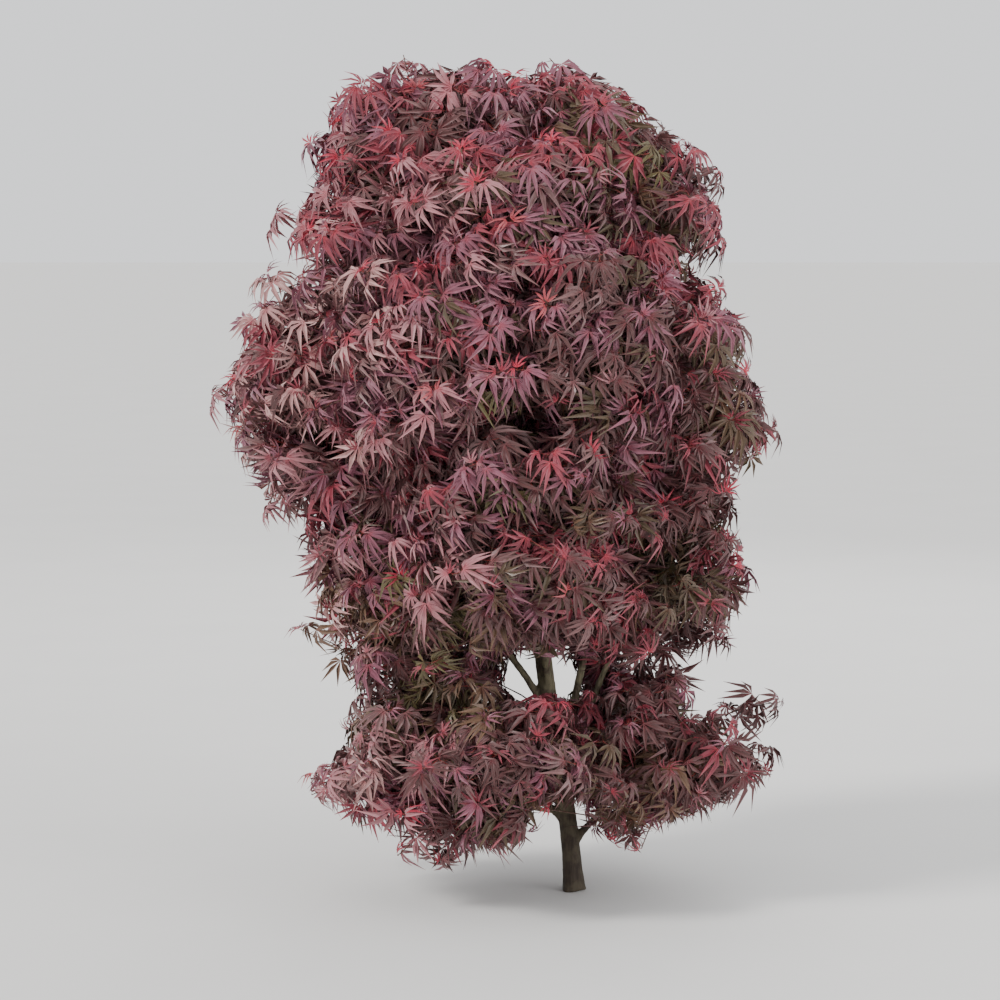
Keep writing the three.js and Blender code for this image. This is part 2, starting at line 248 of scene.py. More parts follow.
# %% Numbers of the rule, in millimetres
TRUNK_LINE = [
    (0, 0, -40), (0, 0, 0), (-7, 2, 95), (-41, 0, 318), (-66, -6, 560), (-84, 8, 760), (-95, 22, 935)
]
TRUNK_FOOT_RADIUS = 13.2
TRUNK_TIP_RADIUS = 4
TRUNK_TAPER_POWER = 2.2
FLARE = 4.5
FLARE_HEIGHT = 30
ROOT_RIDGES = 3
ROOT_RIDGE_SHARE = 0.5

BOUGH_FOOT_SHARE = 0.5
BOUGH_TIP_RADIUS = 3.4
BOUGH_BEND_SHARE = 0.35
BOUGH_RISE = 0.25
DOORWAY_SHARE = 0.74
DOORWAY_ROOM = 0.88

SPACE_POWER = 2.7
SPACE_MARGIN = 0.4
STEM_RADIUS = 3.2
STEM_LEAD = 25
STEM_INSET = 6
TWIG_DIRECTIONS = 47
TWIG_STRIDE = 13
TWIG_SPREAD = math.radians(40)
MOST_TWIGS = 6
TWIG_REACH = 0.82
TWIG_REACH_JITTER = 0.16
UNDERSIDE_LOSS = 0.22
OPEN_SHARE = 0.69
GOLDEN_TURN = math.pi * (3 - math.sqrt(5))
SEED_STEP = 1009
TIP_STEP = 0.01
HALVINGS = 40

# Each mass: name, centre, half sizes, and the height where its bough leaves the trunk
MASS_SIZES = [
    ("top_left", (-215, -20, 1050), (175, 165, 150), 800),
    ("top_right", (20, -20, 1040), (165, 165, 147), 840),
    ("top_back", (-90, 140, 1035), (185, 150, 145), None),
    ("upper_front", (-95, -160, 965), (170, 140, 145), 700),
    ("upper_left", (-230, -10, 880), (165, 165, 145), 560),
    ("upper_right", (80, -20, 870), (165, 165, 150), 600),
    ("upper_back", (-90, 155, 870), (185, 150, 145), 660),
    ("middle_left", (-355, -20, 725), (180, 155, 140), 330),
    ("middle_front_left", (-190, -180, 785), (165, 145, 140), 480),
    ("middle_front_right", (0, -185, 775), (165, 145, 140), 520),
    ("middle_right", (130, -10, 690), (170, 160, 150), 175),
    ("middle_back_right", (15, 165, 700), (165, 145, 145), 440),
    ("middle_back_left", (-230, 150, 695), (165, 145, 145), 400),
    ("lower_front", (-110, -175, 610), (170, 140, 130), 360),
    ("low_left", (-235, -20, 505), (165, 160, 150), 240),
    ("low_front", (-60, -160, 470), (160, 140, 115), 290),
    ("low_right", (115, 0, 495), (180, 160, 150), 135),
    ("low_back", (-60, 160, 490), (180, 145, 140), 260),
    ("skirt_left", (-255, -20, 225), (178, 155, 140), 95),
    ("skirt_front", (-85, -150, 195), (165, 135, 115), 115),
    ("skirt_right", (140, -20, 205), (180, 155, 115), 60),
    ("skirt_back", (10, 140, 210), (175, 135, 115), 80),
]
print(len(MASS_SIZES), "masses, on a trunk of", len(TRUNK_LINE) - 1, "stretches")


# %% Seeded draws and curves
def random_from(seed):
    """A generator of numbers from 0 to 1, the same one that grew the solids."""
    state = seed

    def draw():
        nonlocal state
        state = (state * 1664525 + 1013904223) % 4294967296
        return state / 4294967296

    return draw


def drawn(span, random):
    """A number from a span, which is given as its least value and its width."""
    return span[0] + span[1] * random()


def centred(random):
    return random() - 0.5


def bezier(start, bend, end, share):
    """A point on a curve that leaves start towards bend and comes into end from it."""
    rest = 1 - share
    return start * rest**2 + bend * (2 * rest * share) + end * share**2


def trunk_spot(step):
    """A point on the smooth line through the trunk's marks. Step 2.5 is halfway from mark 2 to 3."""
    marks = [Vector(mark) for mark in TRUNK_LINE]
    marks = [2 * marks[0] - marks[1], *marks, 2 * marks[-1] - marks[-2]]
    at = min(int(step), len(marks) - 4)
    before, start, end, after = marks[at : at + 4]
    stretches = zip(marks[at:], marks[at + 1 : at + 4])
    gap_in, gap, gap_out = (math.sqrt((b - a).length) for a, b in stretches)
    slope_in = ((start - before) / gap_in - (end - before) / (gap_in + gap) + (end - start) / gap) * gap
    slope_out = (end - start) / gap - (after - start) / (gap + gap_out) + (after - end) / gap_out
    slope_out *= gap
    t = step - at
    bend = 3 * (end - start) - 2 * slope_in - slope_out
    return start + slope_in * t + bend * t**2 + (2 * (start - end) + slope_in + slope_out) * t**3


def trunk_point(height):
    """The middle of the trunk at a height, found by halving the stretch that holds it."""
    low, high = 0.0, len(TRUNK_LINE) - 1.0
    for _ in range(HALVINGS):
        middle = (low + high) / 2
        low, high = (middle, high) if trunk_spot(middle).z < height else (low, middle)
    return trunk_spot(low)


def trunk_radius(height):
    """The trunk's radius at a height, with its flare but without the ridges of the roots."""
    share = min(max(height / TRUNK_LINE[-1][2], 0), 1)
    taper = (TRUNK_FOOT_RADIUS - TRUNK_TIP_RADIUS) * share**TRUNK_TAPER_POWER
    return TRUNK_FOOT_RADIUS - taper + FLARE * math.exp(-max(height, 0) / FLARE_HEIGHT)


print("trunk at half its height:", tuple(round(v, 1) for v in trunk_point(467.5)))


# %% The space of each mass and the bough that leads to it
class Mass:
    """One mass of foliage: its space, and where its bough starts, bends and ends."""

    def __init__(self, index, name, centre, half, fork):
        self.name, self.half, self.fork = name, half, fork
        self.centre = Vector(centre)
        self.seed = SEED_STEP * (index + 1)
        self.ball_radius = (half[0] * half[1] * half[2]) ** (1 / 3)

    def skin_share(self, offset):
        """The share of the way from the centre to the skin."""
        return sum(abs(a / b) ** SPACE_POWER for a, b in zip(offset, self.half)) ** (1 / SPACE_POWER)

    def add_walls(self, masses):
        """Where the space ends at each neighbour: a direction and how far away the wall stands."""
        self.walls = []
        for other in masses:
            if other is not self:
                across = other.centre - self.centre
                far = across.length
                middle = (far**2 + self.ball_radius**2 - other.ball_radius**2) / (2 * far)
                self.walls.append((across / far, middle - SPACE_MARGIN))

    def room_along(self, direction):
        room = 1 / self.skin_share(direction)
        for normal, offset in self.walls:
            slope = direction.dot(normal)
            if slope > 0:
                room = min(room, offset / slope)
        return room

    def add_bough(self):
        if self.fork is None:
            tip_step = len(TRUNK_LINE) - 1
            self.doorway = trunk_spot(tip_step)
            self.entry = (self.doorway - trunk_spot(tip_step - TIP_STEP)).normalized()
            return
        self.root = trunk_point(self.fork)
        inward = (self.root - self.centre).normalized()
        reach = min(DOORWAY_SHARE / self.skin_share(inward), DOORWAY_ROOM * self.room_along(inward))
        self.doorway = self.centre + inward * reach
        self.bend = self.root.lerp(self.doorway, BOUGH_BEND_SHARE)
        self.bend.z += BOUGH_RISE * (self.doorway - self.root).length
        self.entry = (self.doorway - self.bend).normalized()


masses = [Mass(index, *sizes) for index, sizes in enumerate(MASS_SIZES)]
for mass in masses:
    mass.add_walls(masses)
    mass.add_bough()
reaches = [(mass.doorway - mass.root).length for mass in masses if mass.fork]
print("boughs reach", round(min(reaches)), "to", round(max(reaches)), "mm from the trunk")

# %% [markdown]
# ## Trunk and boughs
# The real limbs are one skin: bark runs from the trunk into each bough without a seam. A tube for each
# limb gives the right taper, and a circle that is extruded from spot to spot along the limb is the
# plainest way to draw one. The tubes are then joined and remeshed, which melts them into one skin, and
# two displacements raise the bark: long shallow furrows and a finer grain.

# %% Draw one limb
def draw_limb(spots, radii, sides):
    """A filled circle at the limb's foot, extruded from spot to spot and scaled to each radius."""
    bpy.ops.object.select_all(action="DESELECT")
    turn = (spots[-1] - spots[0]).to_track_quat("Z", "Y").to_euler()
    bpy.ops.mesh.primitive_circle_add(
        vertices=sides, radius=radii[0], fill_type="NGON", location=spots[0], rotation=turn
    )
    bpy.ops.object.mode_set(mode="EDIT")
    for last, spot, last_radius, radius in zip(spots, spots[1:], radii, radii[1:]):
        bpy.ops.mesh.extrude_region_move(TRANSFORM_OT_translate={"value": spot - last})
        bpy.ops.transform.resize(value=(radius / last_radius,) * 3, center_override=spot)
    bpy.ops.mesh.select_all(action="SELECT")
    bpy.ops.mesh.normals_make_consistent(inside=False)
    bpy.ops.object.mode_set(mode="OBJECT")
    return bpy.context.object


print("a limb is drawn from its foot to its tip")

# %% Trunk, with its flare and the ridges of three roots
TRUNK_SIDES = 24
TRUNK_HEIGHTS = [0, 6, 14, 24, 36, 52, 75, *range(110, 936, 55), 935]
trunk = draw_limb(
    [trunk_point(height) * MM for height in TRUNK_HEIGHTS],
    [trunk_radius(height) * MM for height in TRUNK_HEIGHTS],
    TRUNK_SIDES,
)
trunk.name = "bark_limbs"
bpy.ops.object.transform_apply(location=True, rotation=True, scale=True)
for vertex in trunk.data.vertices:
    height = max(vertex.co.z / MM, 0)
    outward = vertex.co - trunk_point(height) * MM
    outward.z = 0
    flare = FLARE * math.exp(-height / FLARE_HEIGHT)
    ridge = flare * ROOT_RIDGE_SHARE * math.cos(ROOT_RIDGES * math.atan2(outward.y, outward.x))
    if outward.length > 0:
        vertex.co += outward.normalized() * ridge * MM
print("trunk:", len(trunk.data.vertices), "corners,", round(2 * trunk_radius(0)), "mm wide at its foot")

# %% Boughs, each with a collar where it leaves the trunk
BOUGH_SIDES = 12
BOUGH_RINGS = 12
COLLAR_SHARE = 0.12
COLLAR_SWELL = 0.45
limbs = [trunk]
for mass in masses:
    if mass.fork is None:
        continue
    shares = [ring / BOUGH_RINGS for ring in range(BOUGH_RINGS + 1)]
    foot = BOUGH_FOOT_SHARE * trunk_radius(mass.fork)
    collars = [1 + COLLAR_SWELL * max(0, 1 - share / COLLAR_SHARE) for share in shares]
    tapers = [foot + (BOUGH_TIP_RADIUS - foot) * share for share in shares]
    radii = [taper * collar * MM for taper, collar in zip(tapers, collars)]
    spots = [bezier(mass.root, mass.bend, mass.doorway, share) * MM for share in shares]
    limbs.append(draw_limb(spots, radii, BOUGH_SIDES))
print(len(limbs) - 1, "boughs drawn")

# %% Melt the limbs into one skin and raise the bark
SKIN_VOXEL = 0.0021
BARK_STRETCH = 5
BARK_RELIEF = (("furrows", 0.006, 0.0016), ("grain", 0.0022, 0.0007))  # name, size and height


def select_only(*pieces):
    """Selects these pieces, and makes the first one active."""
    bpy.ops.object.select_all(action="DESELECT")
    for piece in pieces:
        piece.select_set(True)
    bpy.context.view_layer.objects.active = pieces[0]


def apply_modifier(piece, kind, name, **settings):
    """Adds a modifier, sets it and applies it."""
    select_only(piece)
    modifier = piece.modifiers.new(name, kind)
    for key, value in settings.items():
        setattr(modifier, key, value)
    bpy.ops.object.modifier_apply(modifier=name)


select_only(*limbs)
bpy.ops.object.join()
apply_modifier(trunk, "REMESH", "one_skin", mode="VOXEL", voxel_size=SKIN_VOXEL)
apply_modifier(trunk, "SMOOTH", "soft_forks", factor=0.5, iterations=3)
bpy.ops.object.empty_add(location=(0, 0, 0))
stretch = bpy.context.object
stretch.scale = (1, 1, BARK_STRETCH)
bpy.context.view_layer.update()
for name, size, height in BARK_RELIEF:
    pattern = bpy.data.textures.new(name, "CLOUDS")
    pattern.noise_scale = size
    mapping = {"texture_coords": "OBJECT", "texture_coords_object": stretch, "mid_level": 0.5}
    apply_modifier(trunk, "DISPLACE", name, texture=pattern, strength=height, **mapping)
bpy.data.objects.remove(stretch)
print("bark skin:", len(trunk.data.polygons), "faces")

# %% Trim the skin level with the ground
TRIM = {"plane_co": (0, 0, 0.0006), "plane_no": (0, 0, 1)}
select_only(trunk)
bpy.ops.object.mode_set(mode="EDIT")
bpy.ops.mesh.select_all(action="SELECT")
bpy.ops.mesh.bisect(**TRIM, clear_inner=True, use_fill=True)
bpy.ops.object.mode_set(mode="OBJECT")
trunk.data.shade_smooth()
print("lowest bark:", round(min(vertex.co.z for vertex in trunk.data.vertices) / MM, 2), "mm")

# %% [markdown]
# ## The leaf
# The blade is cut almost to its base into five or seven narrow lobes, which spread like fingers. Each
# lobe is widest about halfway along, runs out to a fine point, folds up along its midrib and hangs at
# the end. Two strips of faces that meet at the midrib give all of that with eight triangles a lobe, or
# four for the plainer leaves that lie in shade. Some shapes that differ in lobes, spread and droop are
# enough for thousands of leaves.

# %% One lobe as two strips that meet at the midrib
# How far along a lobe its rim has a corner, and how far that stands from the midrib
FULL_STATIONS = ((0.28, 0.056), (0.6, 0.066))
PLAIN_STATIONS = ((0.46, 0.078),)
FOLD = 0.8
LOBE_RISE = 0.3


def lobe_arrays(angle, share, droop, sweep, stations):
    """Corners, triangles and UV of a lobe of a leaf whose middle lobe is 1 long."""
    corners, uvs, triangles = [], [], []

    def corner(t, across, half_width):
        turned = angle + sweep * t
        along = share * t * np.array([math.sin(turned), math.cos(turned), 0])
        side = across * half_width * np.array([math.cos(turned), -math.sin(turned), 0])
        height = FOLD * abs(across) * half_width + share * (LOBE_RISE * t - (LOBE_RISE + droop) * t**2)
        corners.append(along + side + np.array([0, 0, height]))
        uvs.append((0.5 + 0.5 * across, t))
        return len(corners) - 1

    for edge in (-1, 1):
        foot = corner(0, 0, 0)
        rows = [(corner(t, 0, w), corner(t, edge, w)) for t, w in stations]
        tip = corner(1, 0, 0)
        strip = [(foot, rows[0][1], rows[0][0]), (*rows[-1], tip)]
        for (mid, rim), (next_mid, next_rim) in zip(rows, rows[1:]):
            strip += [(mid, rim, next_rim), (mid, next_rim, next_mid)]
        triangles += strip if edge == 1 else [(a, c, b) for a, b, c in strip]
    return np.array(corners), np.array(triangles), np.array(uvs)


def stacked(parts):
    """Joins parts, each of corners, triangles and perhaps UV, into one set of arrays."""
    counts = np.cumsum([0] + [len(part[0]) for part in parts])
    layers = [list(layer) for layer in zip(*parts)]
    layers[1] = [triangles + count for triangles, count in zip(layers[1], counts)]
    return [np.vstack(layer) for layer in layers]


print("one lobe:", len(lobe_arrays(0, 1, 0.3, 0, FULL_STATIONS)[1]), "triangles")

# %% Shapes of leaf
FULL_SHAPES = 6
YOUNG_SHAPES = 2
PLAIN_SHAPES = 4
SHAPES = FULL_SHAPES + YOUNG_SHAPES + PLAIN_SHAPES
SEVEN_LOBES = ((0, 1.0), (25, 0.97), (-25, 0.97), (52, 0.82), (-52, 0.82), (84, 0.5), (-84, 0.5))
FIVE_LOBES = ((0, 1.0), (30, 0.92), (-30, 0.92), (64, 0.64), (-64, 0.64))
LEAF_DROOP, LOBE_DROOP, LOBE_LENGTH = (0.35, 0.4), (0.6, 0.8), (0.88, 0.24)
ANGLE_JITTER, SWEEP = 10, 0.55


def leaf_arrays(shape):
    """The joined lobes of one shape, a little uneven as real lobes are."""
    random = random_from(SEED_STEP + shape)
    young = FULL_SHAPES <= shape < FULL_SHAPES + YOUNG_SHAPES
    lobes = FIVE_LOBES if young or shape == SHAPES - 1 else SEVEN_LOBES
    stations = FULL_STATIONS if shape < FULL_SHAPES + YOUNG_SHAPES else PLAIN_STATIONS
    droop = drawn(LEAF_DROOP, random)
    parts = []
    for angle, share in lobes:
        turned = math.radians(angle + ANGLE_JITTER * centred(random))
        length = share * drawn(LOBE_LENGTH, random)
        lobe_droop = droop * drawn(LOBE_DROOP, random)
        parts.append(lobe_arrays(turned, length, lobe_droop, SWEEP * centred(random), stations))
    return *stacked(parts), np.array([corners[-1] for corners, _, _ in parts])


leaf_shapes = [leaf_arrays(shape) for shape in range(SHAPES)]
print("triangles in each shape:", [len(shape[1]) for shape in leaf_shapes])

# %% [markdown]
# ## Twigs, sprays and leaves
# Inside a mass the real plant forks again and again: a stem, a few main twigs, many side twigs, and at
# the end of each a spray. A spray is up to five pairs of leaves that cross each other at right angles,
# small and bright at the tip and larger further back. Stalks hold the blades out, and the blades hang.
# Thousands of them could be particles, but those don't survive an export. So each is noted as a few
# numbers while the plant grows, and arrays turn the notes into joined meshes at the end.

# %% What is noted while the plant grows
twig_notes = []  # (spots, foot radius, tip radius, sides)
stalk_notes = []  # (foot, top)
leaf_notes = []  # (kind of leaf, shape, base, forward, face, length)
print("three empty lists of notes")

# %% The crown's skin
# Each mass adds to a field that is 1 at its own skin. Where two masses meet, their fields add up, so
# leaves close the crevice between them, as they do on the plant.
CENTRES = np.array([mass.centre for mass in masses])
HALVES = np.array([mass.half for mass in masses])
FIELD_END = 1.5
FIELD_AT_SKIN = (1 - 1 / FIELD_END**2) ** 2
GROUND_CLEARANCE, TRUNK_CLEARANCE, BOX_SLACK = 10, 24, 6
BOX_LOW = np.array(cad_low) / MM - BOX_SLACK
BOX_HIGH = np.array(cad_high) / MM + BOX_SLACK


def crown_field(spots):
    """How deep spots lie in the crown: over 1 inside its skin and under 1 outside."""
    offsets = np.abs((spots[:, None] - CENTRES) / HALVES)
    shares = (offsets**SPACE_POWER).sum(axis=2) ** (1 / SPACE_POWER)
    return (np.clip(1 - (shares / FIELD_END) ** 2, 0, None) ** 2).sum(axis=1) / FIELD_AT_SKIN


VIEWPOINT = np.array(CAMERA_SPOT) / MM


def seen_at(spot):
    """Where a spot appears to the camera, measured across and up in the upright plane of the trunk."""
    share = VIEWPOINT[1] / (VIEWPOINT[1] - spot[1])
    return [VIEWPOINT[axis] + (spot[axis] - VIEWPOINT[axis]) * share for axis in (0, 2)]


# Where the crown is open, by the share of leaves that grow there. Each region, as the camera sees it,
# has a left and a right end, and a lower and an upper edge: its height at the trunk's foot and its rise
FAR = 9999
OPENINGS = {
    0.04: [
        (-98, 0, (286, 0), (340, 0)),  # between trunk and boughs, over the skirt
        (-66, 20, (-FAR, 0), (114, 0)),  # the trunk's foot
        (246, FAR, (465, 0), (625, 0)),  # notch on the right
        (-FAR, -338, (463.74, 0.73), (345, 0)),  # notch on the left, over the skirt
        (213, 271, (1342.33, -2.2222), (FAR, 0)),  # right shoulder
        (271, FAR, (740, 0), (FAR, 0)),
        (60, FAR, (1234, -0.9), (FAR, 0)),  # top right corner
        (112, FAR, (-FAR, 0), (22, 0.45)),  # under the skirt, right
        (-FAR, -323, (-FAR, 0), (-161.71, -0.77)),  # under the skirt, left
    ],
    0.45: [(66, FAR, (340.38, -0.54), (344, 0))],  # waist, right of the trunk
    0.75: [
        (140, FAR, (460, 0), (560, 0)),  # low right
        (-FAR, -180, (-FAR, 0), (100, 0)),  # low left
        (-FAR, 62, (262, 0), (344, 0)),  # waist, left of the trunk
    ],
}
HOLLOW = {"share": 0.12, "depth": -170, "middle": (-54, 674), "size": (36, 24)}


def kept_share(spot):
    """The share of leaves that grow at a spot, by the hollow in front and the openings."""
    place = across, up = seen_at(spot)
    off = [(at - middle) / size for at, middle, size in zip(place, HOLLOW["middle"], HOLLOW["size"])]
    if spot[1] < HOLLOW["depth"] and math.hypot(*off) < 1:
        return HOLLOW["share"]
    for share, regions in OPENINGS.items():
        for left, right, (low, low_rise), (high, high_rise) in regions:
            if left < across < right and low + low_rise * across < up < high + high_rise * across:
                return share
    return 1


print("field at the crown's middle:", crown_field(np.array([[-100.0, 0.0, 700.0]])).round(1))

# %% Directions of the twigs
def spiral_direction(place, seed):
    height = 1 - 2 * (place + 0.5) / TWIG_DIRECTIONS
    turn = place * GOLDEN_TURN + seed
    level = math.sqrt(1 - height**2)
    return Vector((level * math.cos(turn), level * math.sin(turn), height))


FREE_SHARE = 0.97
WALL_REACH = 0.94
CREVICE_REACH, CREVICE_LOOK, CREVICE_FIELD = 1.06, 1.2, 0.62
CLUMP, CLUMP_HEIGHT, TIER_WEIGHT = 27, 0.2, 1.5


def swell(spot):
    """How much the foliage bulges at a spot, from -1 to 1: waves that run askew make clumps about as
    wide as a hand, and one that runs upwards makes tiers."""
    x, y, z = (value / CLUMP for value in spot)
    phases = x + 1.3 * math.sin(0.8 * z), y + 0.6 * z, 1.1 * z - 0.5 * x
    clumps = sum(math.sin(phase) for phase in phases)
    tiers = math.sin(0.72 * z + 0.2 * x - 0.25 * y)
    return (clumps + TIER_WEIGHT * tiers) / (len(phases) + TIER_WEIGHT)


def reach_along(mass, direction, jitter):
    """How far a twig goes from the middle of its mass: up to a wall, further into a crevice, and where
    it is free as the source says, with clumps and hollows."""
    room = mass.room_along(direction)
    if room * mass.skin_share(direction) < FREE_SHARE:
        return WALL_REACH * room
    ahead = mass.centre + direction * room * CREVICE_LOOK
    if crown_field(np.array([ahead]))[0] > CREVICE_FIELD:
        return CREVICE_REACH * room
    reach = TWIG_REACH + UNDERSIDE_LOSS * min(direction.z, 0) + CLUMP_HEIGHT * swell(ahead)
    return reach * room * (1 + TWIG_REACH_JITTER * (jitter - 0.5))


def open_directions(mass, least_share):
    """The spiral's directions that no neighbour blocks too near, taken in strides."""
    places = [(i * TWIG_STRIDE) % TWIG_DIRECTIONS for i in range(TWIG_DIRECTIONS)]
    directions = [spiral_direction(place, mass.seed) for place in places]
    return [d for d in directions if mass.room_along(d) * mass.skin_share(d) >= least_share]


def main_directions(directions):
    """The first few that stand well apart, which become the main twigs."""
    kept = []
    for direction in directions:
        if all(direction.angle(other) >= TWIG_SPREAD for other in kept):
            kept.append(direction)
    return kept[:MOST_TWIGS]


print("open directions of the first mass:", len(open_directions(masses[0], OPEN_SHARE)))

# %% A spray of leaves
# Each pair, from the tip back: how far its stalks open in degrees, how far back they stand, how long
# they are, how long the middle lobe is, and how much the blades hang
SPRAY = (
    (36, 0, 6, 25, 0.3), (64, 7, 13, 39, 0.8), (80, 18, 21, 46, 1.0), (80, 38, 28, 45, 1.1),
    (84, 60, 30, 43, 1.1),
)
TURN_TO_LIGHT = 1.7
TURN_JITTER, OPENING_JITTER, LEAN_JITTER = 0.8, 0.35, 0.8
BLADE_LENGTH, HANG = (0.76, 0.4), (0.5, 1)
FACE_UP, FACE_OUT = 0.5, 0.7
STALK_SAG = 2
FIRST_PLAIN_PAIR, FIRST_SHADED_PAIR = 2, 3
SHADE_SKIN = 1.1
TRIES = 3
RETRY_DROOP, RETRY_SHRINK, RETRY_TURN = 0.4, 0.88, 0.45
LEAST_FACING = 0.05


def leaf_fits(shape, base, forward, face, length, skin, random):
    """A leaf grows if its base and the tips of its lobes lie in the crown, in the box and in no gap."""
    axes = np.array([forward.cross(face), forward, face]) * length
    spots = np.vstack([base, np.array(base) + leaf_shapes[shape][3] @ axes])
    if spots[:, 2].min() < GROUND_CLEARANCE or (spots < BOX_LOW).any() or (spots > BOX_HIGH).any():
        return False
    if random() > min(kept_share(spot) for spot in spots):
        return False
    axis = trunk_point(min(max(base.z, 0), TRUNK_LINE[-1][2]))
    return (base - axis).length > TRUNK_CLEARANCE and crown_field(spots).min() > skin


def draw_shape(level, random):
    """The newest pair is young and small, and the leaves in the shade behind are plainer."""
    if level == 0:
        return FULL_SHAPES + int(random() * YOUNG_SHAPES)
    if level >= FIRST_PLAIN_PAIR:
        return FULL_SHAPES + YOUNG_SHAPES + int(random() * PLAIN_SHAPES)
    return int(random() * FULL_SHAPES)


def square_to(forward, facing):
    """The part of a facing that is square to forward, as a unit vector."""
    face = facing - forward * facing.dot(forward)
    return (face if face.length > LEAST_FACING else forward.orthogonal()).normalized()


def grow_spray(path, twig_end, kinds, random, pairs, skin):
    """Pairs of leaves from a twig's tip backwards, each crossed with the one before. The spray turns to
    the light more than its twig does, and its leaves hang like the ribs of an umbrella."""
    axis = (twig_end + UP * TURN_TO_LIGHT).normalized()
    across = axis.orthogonal().normalized()
    over = axis.cross(across)
    spin = 2 * math.pi * random()
    run = (path[1] - path[0]).length + (path[2] - path[1]).length
    for level in pairs:
        opens, back, stalk, blade, hang = SPRAY[level]
        foot = bezier(*path, 1 - min(back / run, 1))
        for side in (0, 1):
            turn = spin + math.pi * side + math.pi / 2 * level + TURN_JITTER * centred(random)
            opening = math.radians(opens) + OPENING_JITTER * centred(random)
            sideways = across * math.cos(turn) + over * math.sin(turn)
            heading = axis * math.cos(opening) + sideways * math.sin(opening)
            length = blade * drawn(BLADE_LENGTH, random)
            droop = hang * drawn(HANG, random)
            shape = draw_shape(level, random)
            lean = Vector([centred(random) for _ in range(3)]) * LEAN_JITTER
            depth = SHADE_SKIN if level >= FIRST_SHADED_PAIR else skin
            for attempt in range(TRIES):
                base = foot + heading * stalk - UP * STALK_SAG
                forward = (heading - UP * (droop + RETRY_DROOP * attempt)).normalized()
                face = square_to(forward, UP * FACE_UP + twig_end * FACE_OUT + lean)
                if leaf_fits(shape, base, forward, face, length, depth, random):
                    stalk_notes.append((foot, base))
                    leaf_notes.append((kinds[level], shape, base, forward, face, length))
                    break
                length *= RETRY_SHRINK
                heading = (heading - twig_end * RETRY_TURN).normalized()


print("a full spray has", 2 * len(SPRAY), "leaves")

# %% [markdown]
# ## Colours dealt out by spray
# One plant carries many tints at once. Dusty plum and maroon leaves make most of it. Paler rose and
# blush ones are dealt to the side that gets the light, as painted light, and darker ones to the lee, as
# painted shade. New leaves at the tips are scarlet, coral and wine-red, and leaves deep inside are
# dealt brown, bronze and olive, partly their own colour and partly painted shade. A pattern painted
# over a million faces would blur when it is exported, so each tint is a finish of its own, and every
# spray is dealt one by where it grows. The numbers in each table are weights for that draw.

# %% Deal the tints
def within(value):
    return min(max(value, 0.0), 1.0)


def ramp(value, start, end):
    """0 at the start, 1 at the end, and an even rise between."""
    return within((value - start) / (end - start))


def pick(random, weights):
    """One of the names, drawn by weight."""
    mark = random() * sum(weights.values())
    for name, weight in weights.items():
        mark -= weight
        if mark <= 0:
            return name
    return name


WAIST_HEIGHT, WAIST_REACH, WAIST_CORE = 360, 110, 1.3


def in_waist(spot):
    """1 in the waist between the lowest row and the skirt, and 0 away from it."""
    return within(WAIST_CORE - abs(spot.z - WAIST_HEIGHT) / WAIST_REACH)


def dull_side(spot):
    """The part of the waist that is left of the trunk, where leaves stay olive and bronze."""
    return in_waist(spot) * ramp(spot.x, -60, -120)


def gloom(spot):
    """How little light a spot gets, from 0 to 1: low on the right, in the waist, in front below the
    top, and between clumps. The left side keeps most of its light."""
    # The darker tints that gloom deals are painted shade.
    right_side = ramp(spot.x, 20, 240) * ramp(spot.z, 700, 450)
    front = ramp(spot.z, 940, 740) * ramp(spot.x, -270, -130)
    right_foot = ramp(spot.x, 10, 110) * ramp(spot.z, 330, 270)
    lee = 0.3 + 0.7 * ramp(spot.x, -330, -130)
    shades = 0.6 * right_side + 0.4 * in_waist(spot) + 0.65 * front + 0.7 * right_foot
    return within(lee * (shades - 0.4 * swell(spot)))


def outer_tints(spot):
    """Weights for the large leaves on the outside."""
    # the paler tints dealt on the lit left side and its arm are painted light, and the darker ones
    # dealt by dim are painted shade
    lit = ramp(spot.x, -60, -300)
    lit_arm = ramp(spot.x, -230, -360) * ramp(spot.z, 980, 880)
    high = ramp(spot.z, 760, 1140)
    crest = ramp(spot.z, 1040, 1160)
    low = ramp(spot.z, 560, 260)
    dull = dull_side(spot)
    dim = gloom(spot)
    return {
        "plum": 0.45 * (1 - 0.7 * dim) * (1 - 0.4 * low),
        "dusk": (0.1 + 0.35 * low + 0.2 * lit_arm) * (1 - 0.6 * dim),
        "maroon": 0.2 * (1 - 0.85 * lit) * (1 - 0.4 * high) + 0.6 * dim,
        "rose": (0.05 + 0.8 * lit) * (1 - 0.45 * high) * (1 - 0.8 * dim),
        "blush": 0.9 * lit_arm * (1 - 0.8 * dim),
        "wine": 0.1 + 0.22 * high + 0.25 * crest,
        "bronze": 0.03 * dim + 0.6 * dull,
        "olive": 0.25 * dull,
        "shade": 0.07 * dim,
    }


def young_tints(spot):
    """Weights for the small new leaves at the tips."""
    high = ramp(spot.z, 850, 1150)
    # painted shade: fewer scarlet and coral leaves where gloom is high
    dim = gloom(spot)
    return {
        "scarlet": 0.16 * (1 - 0.5 * dim) + 0.34 * high,
        "coral": 0.09 * (1 - dim),
        "wine": 0.4,
        "rose": 0.08,
        "plum": 0.2,
    }


def under_tints(spot):
    """Weights for the leaves under and behind the outer ones: darker tints that are partly their own
    colour and partly painted shade, and paler ones as painted light where lit and high.
    """
    lit = ramp(spot.x, -60, -360)
    high = ramp(spot.z, 800, 1150)
    dull = dull_side(spot)
    return {
        "maroon": 0.4 * (1 - 0.6 * lit),
        "plum": 0.08 + 0.2 * lit + 0.12 * high,
        "dusk": 0.06 + 0.28 * lit,
        "bronze": 0.08 * (1 - lit) + 0.35 * dull,
        "wine": 0.08 + 0.3 * high,
        "olive": 0.04 * (1 - lit) + 0.3 * dull,
        "shade": 0.26 * (1 - 0.6 * lit) * (1 - 0.6 * high),
        "rose": 0.1 * lit,
    }


